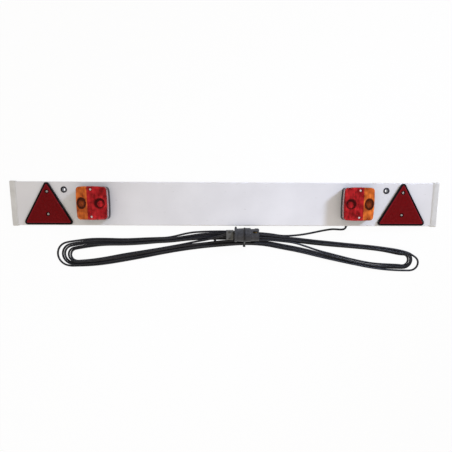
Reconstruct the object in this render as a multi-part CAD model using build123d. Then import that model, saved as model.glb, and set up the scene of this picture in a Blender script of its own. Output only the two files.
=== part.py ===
from build123d import *
import math
import os

# Trailer lighting board, lying on its back. Millimetres, +X along the board, +Y towards its upper
# edge, +Z out of its front face. The origin is under the board's middle, on the surface it lies on.

# Board: a hollow extruded plank
overall_length = 1370.0
board_height = 138.0
board_thick = 15.0
board_skin = 2.0
board_edge_round = 3.0
cell_corner = 0.5
web_spacing = 46.0
web_thick = 1.8

# End caps
cap_wall = 2.0
cap_end_wall = 2.5
cap_cover = 16.0
cap_edge_round = 1.2
cap_lip_long = 5.0
cap_lip_wall = 0.6
cap_fit = 0.15

# Fixing eyelets
eyelet_from_reflector = 52.5
eyelet_from_top = 25.0
eyelet_bore = 10.5
eyelet_wall = 1.25
eyelet_flange = 20.0
eyelet_flange_thick = 1.2
eyelet_flange_round = 0.7
eyelet_ring = 18.0
eyelet_ring_thick = 1.0
eyelet_fit = 0.1

# Triangle reflectors
reflector_from_cap = 23.0
reflector_side = 151.0
reflector_corner = 9.0
reflector_base_above_edge = 2.5
reflector_rim = 5.5
reflector_tray_floor = 2.0
reflector_tray_depth = 7.0
reflector_lens_thick = 5.5
reflector_lens_fit = 0.2
reflector_rim_round = 1.5
reflector_lens_round = 0.75
reflector_screw_above_base = 33.5
reflector_screw_below_top = 28.7
reflector_recess = 12.5
reflector_recess_floor = 2.0

# Screws
screw_head = 7.0
screw_head_high = 2.4
screw_shank = 3.5
screw_bite = 6.0
screw_fit = 0.1
screw_clearance = 0.4
screw_slot_wide = 1.0
screw_slot_deep = 0.9

# Rear lamps
lamp_from_reflector = 25.5
lamp_above_middle = 2.5
lamp_width = 97.0
lamp_height = 104.5
lamp_bow = 2.0
lamp_corner = 11.0
gasket_thick = 1.5
gasket_inset = 2.0
base_depth = 21.0
base_wall = 2.5
base_floor = 2.5
base_screw_from_side = 12.5
base_screw_from_end = 18.25
seal_thick = 1.0
seal_inset = 0.5
lens_depth = 20.0
lens_wall = 2.5
lens_front_round = 5.0
amber_width = 35.0
post_from_split = 11.5
post_from_end = 10.25
post_size = 9.0
lens_boss = 13.0
lens_screw_recess = 9.0
lens_screw_recess_deep = 4.0
lens_screw_grip = 10.0
lens_screw_tip_room = 1.0
window_from_end = 11.25
window_low = 2.5
window_high = 13.5
liner_thick = 1.2
liner_fit = 0.3
divider_thick = 1.5
divider_gap = 1.0
divider_inset = 5.0
stop_from_split = 35.0
socket_size = 28.0
socket_from_liner = 0.2
socket_round = 1.0
socket_above_liner = 9.0
socket_spigot = 20.0
socket_behind_board = 9.0
socket_floor = 2.0
socket_fit = 0.2
socket_board_fit = 0.4
contact_size = 12.0
contact_thick = 1.0
bulb_cap = 15.0
bulb_cap_long = 17.0
bulb_cap_fit = 0.1
bulb_neck = 13.0
bulb_glass = 23.0
bulb_room = 3.0

# Cables inside the board and lamps
cable_size = 6.5
link_size = 5.0
feed_from_side = 22.5
link_from_side = 9.5
entry_from_end = 11.75
entry_hole = 12.0
cable_bend = 10.0
cable_into_lamp = 8.0
cable_fit = 0.1

# Lead grommet in the lower edge
grommet_neck = 8.4
grommet_flange = 12.0
grommet_inner_room = 0.6
grommet_flange_thick = 1.2
grommet_fit = 0.2

# Plug, its axis along +X with the pins facing +X
plug_rear_x = 0.0
plug_y = -97.5
clamp_long = 24.0
clamp_wide = 31.0
clamp_half_high = 11.0
clamp_edge_round = 2.5
clamp_end_room = 1.0
clamp_screw_spread = 21.0
clamp_screw_tip_room = 2.0
neck_size = 24.0
neck_long = 3.0
flange_size = 45.0
flange_long = 8.0
flange_tab_wide = 9.0
flange_tab_reach = 4.0
flange_tab_inset = 1.0
shell_rear_size = 41.0
shell_front_size = 44.0
shell_long = 24.0
shell_bore = 34.0
shell_rear_wall = 2.0
plug_seal_thick = 1.0
plug_seal_inset = 1.0
collar_size = 45.0
collar_long = 19.0
collar_groove = 2.4
collar_grooves = 18
groove_from_rear = 4.0
groove_from_front = 3.0
plug_edge_round = 1.0
sleeve_size = 39.0
sleeve_wall = 3.5
sleeve_long = 27.0
key_slot_wide = 8.0
key_slot_long = 20.0
key_slot_turn = 32.0
lug_wide = 5.0
lug_long = 12.0
lug_reach = 1.5
lug_from_front = 2.0
insert_flange_thick = 4.0
insert_thick = 14.0
insert_fit = 0.2
seat_thick = 6.0
seat_step = 1.5
pin_size = 5.0
pin_tip_round = 1.5
pin_shank = 4.0
pin_edge = 1.3
pin_count = 6
pin_stand_out = 16.0
pin_tail = 5.0
pin_fit = 0.05
plug_fit = 0.2

# Ties
tie_wide = 4.8
tie_thick = 1.3
tie_head_long = 5.0
tie_head_wide = 8.0
tie_head_high = 8.0
tie_head_round = 1.0
tie_fit = 0.2
tail_tie_x = -37.0
tail_tie_long = 9.0
tail_tie_head = 6.0
tail_tie_end = 9.0

# The hank of lead: stations along its rows in the order the lead runs, each with the place of its
# second strand, the gap from there out to the outermost strand and the pitch in to the next one
hank_high = 12.0
left_opening_x = -65.0
right_opening_x = 320.0
hank_join_x = 196.0
UPPER_LEFT_ROW = [
    (183, -108, 3.7, 3.7), (145, -102.6, 3.8, 3.8), (109, -98.5, 5, 5), (62, -96.7, 6.6, 6.6),
    (0, -94, 6.6, 6.6), (-70, -95.2, 6.8, 6.6), (-120, -102.8, 10.3, 6.5), (-184, -113, 3.9, 3.9),
    (-225, -114.5, 3.9, 3.9), (-270, -117.5, 5.4, 5.4), (-331, -121, 6.2, 6.2),
    (-396, -120.6, 6.2, 6.2), (-445, -122.6, 7.4, 7.4),
]
LOWER_LEFT_ROW = [
    (-450, -195.8, 6, 5.8), (-400, -190, 6.8, 6.8), (-333, -178.8, 7.4, 7.4),
    (-267, -166.8, 6.8, 6.8), (-201, -154, 5.6, 5.6), (-135, -142.3, 6.5, 6.5),
]
LOWER_MIDDLE_ROW = [(-69, -133.8, 6.5, 6.5), (-3.5, -128, 6.5, 6.5), (60, -122.9, 6.5, 6.5)]
LOWER_RIGHT_ROW = [
    (127, -127.4, 6.8, 8.5), (184, -138.6, 7, 14), (222, -145.8, 7, 15), (261, -153.8, 6.9, 10.5),
    (300, -162, 6.6, 6.8), (346, -172.4, 6, 6), (413, -188.9, 6.1, 6.1), (481, -200.6, 6.2, 6.2),
    (532, -207.5, 7.6, 7.6), (578, -210.3, 8.2, 7.4),
]
UPPER_RIGHT_ROW = [
    (576, -155, 3.9, 3.9), (528, -146, 3.8, 3.8), (478, -141.4, 4.4, 4.4), (410, -134.2, 4.6, 4.6),
    (344, -129.3, 5.4, 5.4), (277, -122.9, 6.2, 6.2), (230, -116.5, 6.6, 6.6),
]

# The hank's end turns: centre and radius of each strand's arc, from the outermost strand inwards,
# and the angles the arcs start and stop at
LEFT_TURN = [(-509.5, -162.5, 42.5), (-497, -162, 34.8), (-493.5, -162.8, 27), (-487, -162.5, 19.6)]
RIGHT_TURN = [(617, -192, 24), (599.5, -187, 21), (584, -184, 19.5)]
LEFT_TURN_ANGLES = (90, 270)
RIGHT_TURN_ANGLES = (-90, 65)
turn_steps = 7

# Shared by all pieces: how far a cutting shape runs past the face it cuts, the smallest corner that
# is left when an outline is drawn smaller, and the share of a run that the arc at its end may take
overcut = 1.0
least_corner = 1.0
bend_share = 0.45

# Places worked out from the sizes above
board_length = overall_length - 2 * cap_end_wall
board_back = cap_wall
board_front = board_back + board_thick
board_middle = board_back + board_thick / 2
lower_edge = -board_height / 2
cell_depth = board_thick - 2 * board_skin
reflector_x = board_length / 2 - cap_cover - reflector_from_cap - reflector_side / 2
reflector_base = lower_edge + reflector_base_above_edge
reflector_high = (reflector_side - 2 * reflector_corner) * math.sqrt(3) / 2 + 2 * reflector_corner
eyelet_x = reflector_x - eyelet_from_reflector
eyelet_y = board_height / 2 - eyelet_from_top
eyelet_tube = eyelet_bore + 2 * eyelet_wall
cable_floor = cable_size / 2
lamp_x = reflector_x - reflector_side / 2 - lamp_from_reflector - lamp_width / 2
base_low = gasket_thick
floor_top = base_low + base_floor
base_top = base_low + base_depth
lens_low = base_top + seal_thick
lens_top = lens_low + lens_depth
liner_top = floor_top + liner_thick
split = lamp_width / 2 - amber_width
liner_inset = base_wall + liner_fit
liner_inner = liner_inset + liner_thick
indicator_out = lamp_width / 2 - liner_inner - socket_from_liner - socket_size / 2
stop_out = split - stop_from_split
socket_top = liner_top + socket_above_liner
socket_low = -socket_behind_board
contact_low = socket_low + socket_floor
bulb_low = contact_low + contact_thick
bulb_tip = lens_top - lens_wall - bulb_room
entry_down = lamp_height / 2 - entry_from_end
entry_y = lamp_above_middle - entry_down
lead_x = lamp_x - lamp_width / 2 + feed_from_side
link_x = lamp_x - lamp_width / 2 + link_from_side
grommet_face = lower_edge - grommet_flange_thick
neck_from = clamp_long
flange_from = neck_from + neck_long
shell_from = flange_from + flange_long
shell_to = shell_from + shell_long
collar_from = shell_to + plug_seal_thick
collar_to = collar_from + collar_long
plug_long = collar_to + sleeve_long
seat_from = collar_to - seat_thick
insert_front = seat_from + insert_thick - insert_flange_thick
sleeve_bore = sleeve_size - 2 * sleeve_wall
insert_nose = sleeve_bore - 2 * seat_step - 2 * insert_fit
pin_circle = insert_nose - 2 * pin_edge - pin_size
tied_size = max(collar_size, shell_front_size)
plug_z = tie_thick + cable_size + max(tied_size, flange_size) / 2
tie_x = plug_rear_x + shell_to + plug_seal_thick / 2

# The lead lies free from the grommet to the hank, and the tail from the hank to the plug. Each point of
# the lead gives how much of the way along the board from the hank to the grommet it has left
LEAD_POINTS = [
    (1, grommet_face, board_middle), (1, grommet_face - 4.8, board_middle), (0.982, -79.5, 8.6),
    (0.941, -81.8, 7), (0.878, -81.3, 5), (0.784, -79.8, 3.5), (0.667, -83.2, cable_floor),
    (0.539, -88.2, cable_floor), (0.407, -93.8, cable_floor), (0.275, -98.4, cable_floor),
    (0.122, -101.8, cable_floor), (0, -112, cable_floor),
]
LEAD = [(hank_join_x + way * (lead_x - hank_join_x), y, z) for way, y, z in LEAD_POINTS]
TAIL = [
    (-155, -136.5, cable_floor), (-125, -127.2, 4), (-94, -120.6, 7.6), (-66, -115.4, 13.6),
    (-47, -110.6, 19.4), (-27, -104.3, 25.4), (-14, -99.8, 29), (plug_rear_x - 5, plug_y, plug_z),
    (plug_rear_x + 4, plug_y, plug_z),
]


def rod(x, y, low, high, size):
    """Upright cylinder of diameter size between two heights."""
    return Pos(x, y, (low + high) / 2) * Cylinder(size / 2, high - low)


def block(x_span, y_span, z_span):
    """Box between two limits along each axis."""
    spans = (x_span, y_span, z_span)
    middle = [(low + high) / 2 for low, high in spans]
    return Pos(*middle) * Box(*[high - low for low, high in spans])


def pan_screw(seat, length):
    """Slotted pan-head screw along Z, its head standing on the height seat."""
    head = rod(0, 0, seat, seat + screw_head_high, screw_head)
    head = fillet(head.edges().group_by(Axis.Z)[-1], screw_head_high / 2)
    top = seat + screw_head_high
    slot = block((-screw_head, screw_head), (-screw_slot_wide / 2, screw_slot_wide / 2),
                 (top - screw_slot_deep, top + screw_slot_deep))
    return head - slot + rod(0, 0, seat - length, seat, screw_shank)


def bend_radii(runs):
    """Radius of the largest arcs that fit between neighbouring runs."""
    radii = []
    for before, after in zip(runs, runs[1:]):
        half_turn = math.radians(before.get_angle(after)) / 2
        radii.append(bend_share * min(before.length, after.length) / math.tan(half_turn))
    return radii


def tube(points, size):
    """Round tube along straight runs joined by arcs as large as the runs allow."""
    spots = [Vector(*p) for p in points]
    runs = [b - a for a, b in zip(spots, spots[1:])]
    radii = bend_radii(runs)
    path = FilletPolyline(*spots, radius=radii)
    section = Plane(spots[0], z_dir=runs[0]) * Circle(size / 2)
    print("tube radii", [round(r, 1) for r in radii], "length", round(path.length, 1),
          "section times length", round(math.pi * size**2 / 4 * path.length))
    return sweep(section, path=path)


def wire_tube(points, size, bend):
    """Round tube along runs joined by arcs of one radius."""
    spots = [Vector(*p) for p in points]
    path = FilletPolyline(*spots, radius=bend)
    section = Plane(spots[0], z_dir=spots[1] - spots[0]) * Circle(size / 2)
    return sweep(section, path=path)


def board_panel():
    """Hollow plank with two webs, holed for everything that is fixed to it."""
    outline = Pos(0, board_middle) * RectangleRounded(board_height, board_thick, board_edge_round)
    panel = extrude(Plane.YZ * outline, amount=board_length / 2, both=True)
    web_side = (web_spacing + web_thick) / 2
    inner_edge = board_height / 2 - board_skin
    cuts = []
    for low, high in ((-inner_edge, -web_side), (web_thick - web_side, web_side - web_thick),
                      (web_side, inner_edge)):
        cell = Pos((low + high) / 2, board_middle) * RectangleRounded(high - low, cell_depth, cell_corner)
        cuts.append(extrude(Plane.YZ * cell, amount=board_length / 2, both=True))
    front_cut = (board_middle, board_front + overcut)
    for side in (-1, 1):
        eyelet_hole = eyelet_tube + 2 * eyelet_fit
        cuts.append(rod(side * eyelet_x, eyelet_y, 0, 2 * board_front, eyelet_hole))
        for out in socket_places().values():
            spigot_hole = socket_spigot + 2 * socket_board_fit
            cuts.append(rod(side * (lamp_x + out), lamp_above_middle, *front_cut, spigot_hole))
        slot = extrude(entry_slot(side, entry_hole), amount=board_thick)
        cuts.append(Pos(side * lamp_x, lamp_above_middle, board_middle) * slot)
        screws = [(lamp_x + x, lamp_above_middle + y) for x, y in base_screw_places()]
        screws += [(reflector_x, y) for y in reflector_screw_heights()]
        for x, y in screws:
            cuts.append(rod(side * x, y, *front_cut, screw_shank + 2 * screw_fit))
    grommet_hole = Cylinder(grommet_neck / 2 + grommet_fit, 4 * board_skin)
    cuts.append(Pos(lead_x, lower_edge, board_middle) * Rot(90, 0, 0) * grommet_hole)
    return panel - cuts


def cap_outline(wall):
    """Section of an end cap, standing across the board, with the given wall."""
    tall = board_height + 2 * cap_fit + 2 * wall
    deep = board_thick + cap_fit + 2 * wall
    outline = Pos(0, board_middle + cap_fit / 2) * RectangleRounded(tall, deep, board_edge_round + wall)
    return Plane.YZ * outline


def end_cap(side):
    """Moulded cap over one end of the board, with a lip that slopes down to the board."""
    inner = board_length / 2 - cap_cover
    straight = inner + cap_lip_long
    cap = Pos(straight, 0, 0) * extrude(cap_outline(cap_wall), amount=overall_length / 2 - straight)
    cap = fillet(cap.edges().group_by(Axis.X)[-1], cap_edge_round)
    lip_ends = [Pos(inner, 0, 0) * cap_outline(cap_lip_wall), Pos(straight, 0, 0) * cap_outline(cap_wall)]
    cap += loft(lip_ends, ruled=True)
    hollow = Pos(0, board_middle + cap_fit / 2) * RectangleRounded(
        board_height + 2 * cap_fit, board_thick + cap_fit, board_edge_round)
    cap -= Pos(inner - overcut, 0, 0) * extrude(Plane.YZ * hollow, amount=cap_cover + overcut)
    return cap if side > 0 else mirror(cap, about=Plane.YZ)


def eyelet(side):
    """Flanged bush through both skins of the board, with a rounded front lip."""
    x = side * eyelet_x
    bush = rod(x, eyelet_y, board_back - eyelet_ring_thick, board_front, eyelet_tube)
    flange = rod(x, eyelet_y, board_front, board_front + eyelet_flange_thick, eyelet_flange)
    bush += fillet(flange.edges().group_by(Axis.Z)[-1], eyelet_flange_round)
    return bush - rod(x, eyelet_y, 0, 2 * board_front, eyelet_bore)


def eyelet_back_ring(side):
    """Ring on the back of the board that the bush is rolled over."""
    x = side * eyelet_x
    ring = rod(x, eyelet_y, board_back - eyelet_ring_thick, board_back, eyelet_ring)
    return ring - rod(x, eyelet_y, 0, 2 * board_back, eyelet_tube + 2 * eyelet_fit)


def reflector_screw_heights():
    """Places of a reflector's two screws, up from its base and down from its top."""
    return [reflector_base + reflector_screw_above_base,
            reflector_base + reflector_high - reflector_screw_below_top]


def triangle(inset):
    """Equilateral outline with round corners, its base on the reflector's lower side."""
    corner = max(reflector_corner - inset, least_corner)
    between = reflector_side - 2 * reflector_corner
    corners = [(-between / 2, 0), (between / 2, 0), (0, between * math.sqrt(3) / 2)]
    frame = make_face(Polyline(*corners, close=True))
    grown = offset(frame, amount=corner, kind=Kind.ARC) if inset < reflector_corner else frame
    return Pos(0, reflector_base + reflector_corner) * grown


def reflector_tray(side):
    """Black triangular tray with a rounded rim, screwed to the board."""
    tray = extrude(triangle(0), amount=reflector_tray_depth)
    tray = fillet(tray.edges().group_by(Axis.Z)[-1], reflector_rim_round)
    tray -= Pos(0, 0, reflector_tray_floor) * extrude(triangle(reflector_rim), amount=reflector_tray_depth)
    for y in reflector_screw_heights():
        tray -= rod(0, y, -overcut, reflector_tray_depth, screw_shank + 2 * screw_clearance)
    return Pos(side * reflector_x, 0, board_front) * tray


def reflector_lens(side):
    """Red prismatic lens in the tray, with two screw recesses."""
    low = reflector_tray_floor
    lens = extrude(triangle(reflector_rim + reflector_lens_fit), amount=reflector_lens_thick)
    lens = Pos(0, 0, low) * fillet(lens.edges().group_by(Axis.Z)[-1], reflector_lens_round)
    for y in reflector_screw_heights():
        lens -= rod(0, y, low + reflector_recess_floor, low + 2 * reflector_lens_thick, reflector_recess)
        lens -= rod(0, y, 0, low + reflector_lens_thick, screw_shank + 2 * screw_clearance)
    return Pos(side * reflector_x, 0, board_front) * lens


def reflector_screws():
    """The four screws that hold the two reflectors."""
    seat = board_front + reflector_tray_floor + reflector_recess_floor
    screw = pan_screw(seat, seat - board_front + screw_bite)
    places = [(side * reflector_x, y) for side in (-1, 1) for y in reflector_screw_heights()]
    return Compound([Pos(x, y, 0) * screw for x, y in places])


def lamp_outline(inset):
    """Lamp's plan: four slightly bowed sides with round corners."""
    w = lamp_width / 2 - inset
    h = lamp_height / 2 - inset
    sides = [
        ThreePointArc((-w + lamp_bow, -h + lamp_bow), (0, -h), (w - lamp_bow, -h + lamp_bow)),
        ThreePointArc((w - lamp_bow, -h + lamp_bow), (w, 0), (w - lamp_bow, h - lamp_bow)),
        ThreePointArc((w - lamp_bow, h - lamp_bow), (0, h), (-w + lamp_bow, h - lamp_bow)),
        ThreePointArc((-w + lamp_bow, h - lamp_bow), (-w, 0), (-w + lamp_bow, -h + lamp_bow)),
    ]
    face = make_face(sides)
    return fillet(face.vertices(), max(lamp_corner - inset, least_corner))


def entry_slot(side, wide):
    """Slot that both cables pass, in the lamp's plan."""
    middle = lamp_x - (lead_x + link_x) / 2
    return Pos(-side * middle, -entry_down) * SlotCenterToCenter(lead_x - link_x, wide)


def base_screw_places():
    """Three of the base's corners; the cables come in at the fourth."""
    across = lamp_width / 2 - base_screw_from_side
    up = lamp_height / 2 - base_screw_from_end
    return [(across, up), (across, -up), (-across, up)]


def post_places():
    """Lens screws at the top and bottom of the red part, beside the amber."""
    up = lamp_height / 2 - post_from_end
    return [(split - post_from_split, up), (split - post_from_split, -up)]


def socket_places():
    return {"indicator": indicator_out, "stop": stop_out}


def lamp_gasket():
    """Foam pad between lamp and board."""
    pad = extrude(lamp_outline(gasket_inset), amount=gasket_thick)
    for out in socket_places().values():
        pad -= rod(out, 0, -overcut, gasket_thick + overcut, socket_spigot + 2 * socket_fit)
    for x, y in base_screw_places():
        pad -= rod(x, y, -overcut, gasket_thick + overcut, screw_shank + 2 * screw_clearance)
    return pad - extrude(entry_slot(1, entry_hole), amount=gasket_thick + overcut, both=True)


def lamp_base():
    """Black moulded tray with two posts for the lens screws."""
    base = Pos(0, 0, base_low) * extrude(lamp_outline(0), amount=base_depth)
    base -= Pos(0, 0, floor_top) * extrude(lamp_outline(base_wall), amount=base_depth)
    for x, y in post_places():
        base += rod(x, y, floor_top, lens_low, post_size)
        base -= rod(x, y, lens_low - lens_screw_grip, lens_top, screw_shank + 2 * screw_fit)
    for out in socket_places().values():
        base -= rod(out, 0, 0, floor_top + overcut, socket_spigot + 2 * socket_fit)
    for x, y in base_screw_places():
        base -= rod(x, y, 0, floor_top + overcut, screw_shank + 2 * screw_clearance)
    return base - extrude(entry_slot(1, entry_hole), amount=floor_top + overcut)


def lamp_liner():
    """Pale tray in the base, with the wall that parts the two lights."""
    liner = Pos(0, 0, floor_top) * extrude(lamp_outline(liner_inset), amount=base_top - floor_top)
    liner -= Pos(0, 0, liner_top) * extrude(lamp_outline(liner_inner), amount=base_depth)
    half = lamp_height / 2 - divider_inset
    liner += block((split - divider_thick / 2, split + divider_thick / 2), (-half, half),
                   (floor_top, lens_top - lens_wall - divider_gap))
    for x, y in post_places():
        liner -= rod(x, y, 0, lens_low, post_size + 2 * liner_fit)
    for out in socket_places().values():
        liner -= rod(out, 0, 0, liner_top + overcut, socket_spigot + 2 * socket_fit)
    for x, y in base_screw_places():
        liner -= rod(x, y, 0, liner_top + overcut, screw_shank + 2 * screw_clearance)
    return liner - extrude(entry_slot(1, entry_hole), amount=liner_top + overcut)


def bulb_socket(out):
    """Bulb holder: a cup on the liner with a spigot into the hollow of the board."""
    cup = rod(out, 0, liner_top, socket_top, socket_size)
    cup = fillet(cup.edges().group_by(Axis.Z)[-1], socket_round)
    cup += rod(out, 0, socket_low, liner_top, socket_spigot)
    return cup - rod(out, 0, contact_low, socket_top + overcut, bulb_cap + 2 * bulb_cap_fit)


def contact_plates():
    """Spring contact plates under the two bulbs."""
    plates = [rod(out, 0, contact_low, bulb_low, contact_size) for out in socket_places().values()]
    return Compound(plates)


def bulb(out):
    """Bayonet bulb: cap, neck and round glass."""
    glass_middle = bulb_tip - bulb_glass / 2
    lamp = rod(out, 0, bulb_low, bulb_low + bulb_cap_long, bulb_cap)
    lamp += rod(out, 0, bulb_low, glass_middle, bulb_neck)
    return lamp + Pos(out, 0, glass_middle) * Sphere(bulb_glass / 2)


def lens_seal():
    """Rubber ring between the rims of base and lens."""
    ring = extrude(lamp_outline(seal_inset), amount=seal_thick)
    ring -= extrude(lamp_outline(lens_wall), amount=seal_thick + overcut, both=True)
    return Pos(0, 0, base_top) * ring


def lens_shell():
    """Whole lens before it is parted by colour: a hollow shell open at the back."""
    outer = extrude(lamp_outline(0), amount=lens_depth)
    outer = fillet(outer.edges().group_by(Axis.Z)[-1], lens_front_round)
    inner = extrude(lamp_outline(lens_wall), amount=lens_depth - lens_wall)
    inner = fillet(inner.edges().group_by(Axis.Z)[-1], lens_front_round - lens_wall)
    return Pos(0, 0, lens_low) * (outer - inner)


def window_block():
    """Space of the clear window in the lens's inner side."""
    inner_side = -lamp_width / 2
    half = lamp_height / 2 - window_from_end
    return block((inner_side - overcut, inner_side + 2 * lens_wall), (-half, half),
                 (lens_low + window_low, lens_low + window_high))


def colour_half(outer_half):
    """Space on one side of the line between amber and red."""
    far = lamp_width
    span = (split, far) if outer_half else (-far, split)
    return block(span, (-lamp_height, lamp_height), (0, 2 * lens_top))


def red_lens():
    """Red part of the lens with the two screw bosses."""
    lens = lens_shell() & colour_half(False)
    for x, y in post_places():
        lens += rod(x, y, lens_low, lens_top - lens_wall, lens_boss) & lens_hull()
        lens -= rod(x, y, lens_top - lens_screw_recess_deep, lens_top + overcut, lens_screw_recess)
        lens -= rod(x, y, 0, lens_top, screw_shank + 2 * screw_clearance)
    return lens - window_block()


def lens_hull():
    """Filled lens, which keeps the bosses inside the shell."""
    return Pos(0, 0, lens_low) * extrude(lamp_outline(lens_wall / 2), amount=lens_depth - lens_wall / 2)


def lens_screws():
    """The two screws that hold the lens."""
    seat = lens_top - lens_screw_recess_deep
    screw = pan_screw(seat, seat - lens_low + lens_screw_grip - lens_screw_tip_room)
    return Compound([Pos(x, y, 0) * screw for x, y in post_places()])


def base_screws():
    """The three screws that hold base and liner to the board."""
    screw = pan_screw(liner_top, liner_top + screw_bite)
    return Compound([Pos(x, y, 0) * screw for x, y in base_screw_places()])


def lamp_pieces():
    """Every piece of the right-hand lamp in its own frame, by name."""
    places = socket_places()
    shell = lens_shell()
    return {
        "gasket": lamp_gasket(),
        "base": lamp_base(),
        "liner": lamp_liner(),
        "indicator_socket": bulb_socket(places["indicator"]),
        "stop_socket": bulb_socket(places["stop"]),
        "contact_plates": contact_plates(),
        "indicator_bulb": bulb(places["indicator"]),
        "stop_bulb": bulb(places["stop"]),
        "seal": lens_seal(),
        "red_lens": red_lens(),
        "amber_lens": shell & colour_half(True),
        "plate_window": shell & window_block(),
        "lens_screws": lens_screws(),
        "base_screws": base_screws(),
    }


def link_cable():
    """Cable between the lamps, lying on the back skin in the lower hollow of the board."""
    top = board_front + cable_into_lamp
    low = board_back + board_skin + link_size / 2 + cable_fit
    ends = [(link_x, entry_y, low), (link_x, entry_y, top)]
    route = [(-link_x, entry_y, top), (-link_x, entry_y, low)] + ends
    return wire_tube(route, link_size, cable_bend)


def feed_cable():
    """Inner end of the lead, from the grommet's face up into the right-hand lamp."""
    top = board_front + cable_into_lamp
    route = [(lead_x, grommet_face, board_middle), (lead_x, entry_y, board_middle), (lead_x, entry_y, top)]
    return wire_tube(route, cable_size, cable_bend)


def lead_grommet():
    """Rubber grommet in the lower edge of the board."""
    flange = Cylinder(grommet_flange / 2, grommet_flange_thick)
    ring = Pos(0, 0, grommet_flange_thick / 2) * fillet(flange.edges().group_by(Axis.Z)[-1],
                                                        grommet_flange_thick / 2)
    ring += rod(0, 0, -board_skin, 0, grommet_neck)
    inner_flange = cell_depth - 2 * grommet_inner_room
    ring += rod(0, 0, -board_skin - grommet_flange_thick, -board_skin, inner_flange)
    ring -= rod(0, 0, -2 * board_skin - grommet_flange_thick, 2 * grommet_flange_thick,
                cable_size + 2 * cable_fit)
    return Pos(lead_x, lower_edge, board_middle) * Rot(90, 0, 0) * ring


def along_plug(shape):
    """Turns a shape made round +Z into the plug's place, its +Z along +X."""
    return Pos(plug_rear_x, plug_y, plug_z) * Rot(0, 90, 0) * shape


def plug_rear_shell():
    """Rear shell: half of the cable clamp, neck, flange with its catch tab, and tapered barrel."""
    half = block((0, clamp_half_high), (-clamp_wide / 2, clamp_wide / 2), (0, clamp_long))
    half = fillet(half.edges().filter_by(Axis.Z).group_by(Axis.X)[-1], clamp_edge_round)
    shell = half + rod(0, 0, neck_from, flange_from, neck_size)
    flange = rod(0, 0, flange_from, shell_from, flange_size)
    shell += fillet(flange.edges().filter_by(GeomType.CIRCLE), plug_edge_round)
    shell += block((-flange_tab_wide / 2, flange_tab_wide / 2), (0, flange_size / 2 + flange_tab_reach),
                   (flange_from + flange_tab_inset, shell_from - flange_tab_inset))
    barrel = Cone(shell_rear_size / 2, shell_front_size / 2, shell_long)
    shell += Pos(0, 0, shell_from + shell_long / 2) * barrel
    shell -= rod(0, 0, flange_from + shell_rear_wall, shell_to + overcut, shell_bore)
    shell -= rod(0, 0, -overcut, shell_from, cable_size + 2 * cable_fit)
    for y in (-clamp_screw_spread / 2, clamp_screw_spread / 2):
        hole = Cylinder(screw_shank / 2 + screw_fit, 4 * clamp_half_high)
        shell -= Pos(0, y, clamp_long / 2) * Rot(0, 90, 0) * hole & half
    return along_plug(shell)


def plug_clamp():
    """Clamp saddle over the cable, screwed to the rear shell."""
    saddle = block((-clamp_half_high, 0), (-clamp_wide / 2, clamp_wide / 2),
                   (clamp_end_room, clamp_long - clamp_end_room))
    saddle = fillet(saddle.edges().filter_by(Axis.Z).group_by(Axis.X)[0], clamp_edge_round)
    saddle -= rod(0, 0, 0, clamp_long, cable_size + 2 * cable_fit)
    for y in (-clamp_screw_spread / 2, clamp_screw_spread / 2):
        hole = Cylinder(screw_shank / 2 + screw_clearance, 4 * clamp_half_high)
        saddle -= Pos(0, y, clamp_long / 2) * Rot(0, 90, 0) * hole
    return along_plug(saddle)


def plug_clamp_screws():
    """The two screws of the cable clamp."""
    screw = Rot(0, -90, 0) * pan_screw(clamp_half_high, 2 * clamp_half_high - clamp_screw_tip_room)
    spread = (-clamp_screw_spread / 2, clamp_screw_spread / 2)
    return Compound([along_plug(Pos(0, y, clamp_long / 2) * screw) for y in spread])


def plug_seal():
    """Ring between the rear shell and the front body."""
    ring = rod(0, 0, shell_to, collar_from, shell_front_size - 2 * plug_seal_inset)
    return along_plug(ring - rod(0, 0, shell_from, collar_to, shell_bore))


def plug_front_body():
    """Front body: ribbed collar and keyed sleeve round the pins."""
    collar = rod(0, 0, collar_from, collar_to, collar_size)
    collar = fillet(collar.edges().filter_by(GeomType.CIRCLE), plug_edge_round)
    groove = rod(collar_size / 2 + collar_groove / 4, 0, collar_from + groove_from_rear,
                 collar_to - groove_from_front, collar_groove)
    for i in range(collar_grooves):
        turn = Rot(0, 0, 360 * (i + 0.5) / collar_grooves)
        collar -= turn * groove
    body = collar + rod(0, 0, collar_to, plug_long, sleeve_size)
    body += block((-lug_wide / 2, lug_wide / 2), (0, sleeve_size / 2 + lug_reach),
                  (plug_long - lug_from_front - lug_long, plug_long - lug_from_front))
    body -= rod(0, 0, shell_to, seat_from, shell_bore)
    body -= rod(0, 0, shell_to, collar_to + overcut, sleeve_bore - 2 * seat_step)
    body -= rod(0, 0, collar_to, plug_long + overcut, sleeve_bore)
    slot = block((-sleeve_size, 0), (-key_slot_wide / 2, key_slot_wide / 2),
                 (plug_long - key_slot_long, plug_long + overcut))
    return along_plug(body - Rot(0, 0, -key_slot_turn) * slot)


def pin_places():
    """Middle pin and the ring of pins round it."""
    ring = [PolarLocations(pin_circle / 2, pin_count).locations[i].position for i in range(pin_count)]
    return [(0, 0)] + [(p.X, p.Y) for p in ring]


def plug_insert():
    """Contact carrier, seated on the step inside the front body."""
    wide = shell_bore - 2 * insert_fit
    carrier = rod(0, 0, seat_from - insert_flange_thick, seat_from, wide)
    carrier += rod(0, 0, seat_from, insert_front, insert_nose)
    for x, y in pin_places():
        carrier -= rod(x, y, 0, plug_long, pin_shank + 2 * pin_fit)
    return along_plug(carrier)


def plug_pins():
    """The seven brass pins, their shoulders on the carrier and their shanks through it."""
    pin = rod(0, 0, insert_front, insert_front + pin_stand_out, pin_size)
    pin = fillet(pin.edges().group_by(Axis.Z)[-1], pin_tip_round)
    pin += rod(0, 0, seat_from - insert_flange_thick - pin_tail, insert_front, pin_shank)
    return Compound([along_plug(Pos(x, y, 0) * pin) for x, y in pin_places()])


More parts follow.
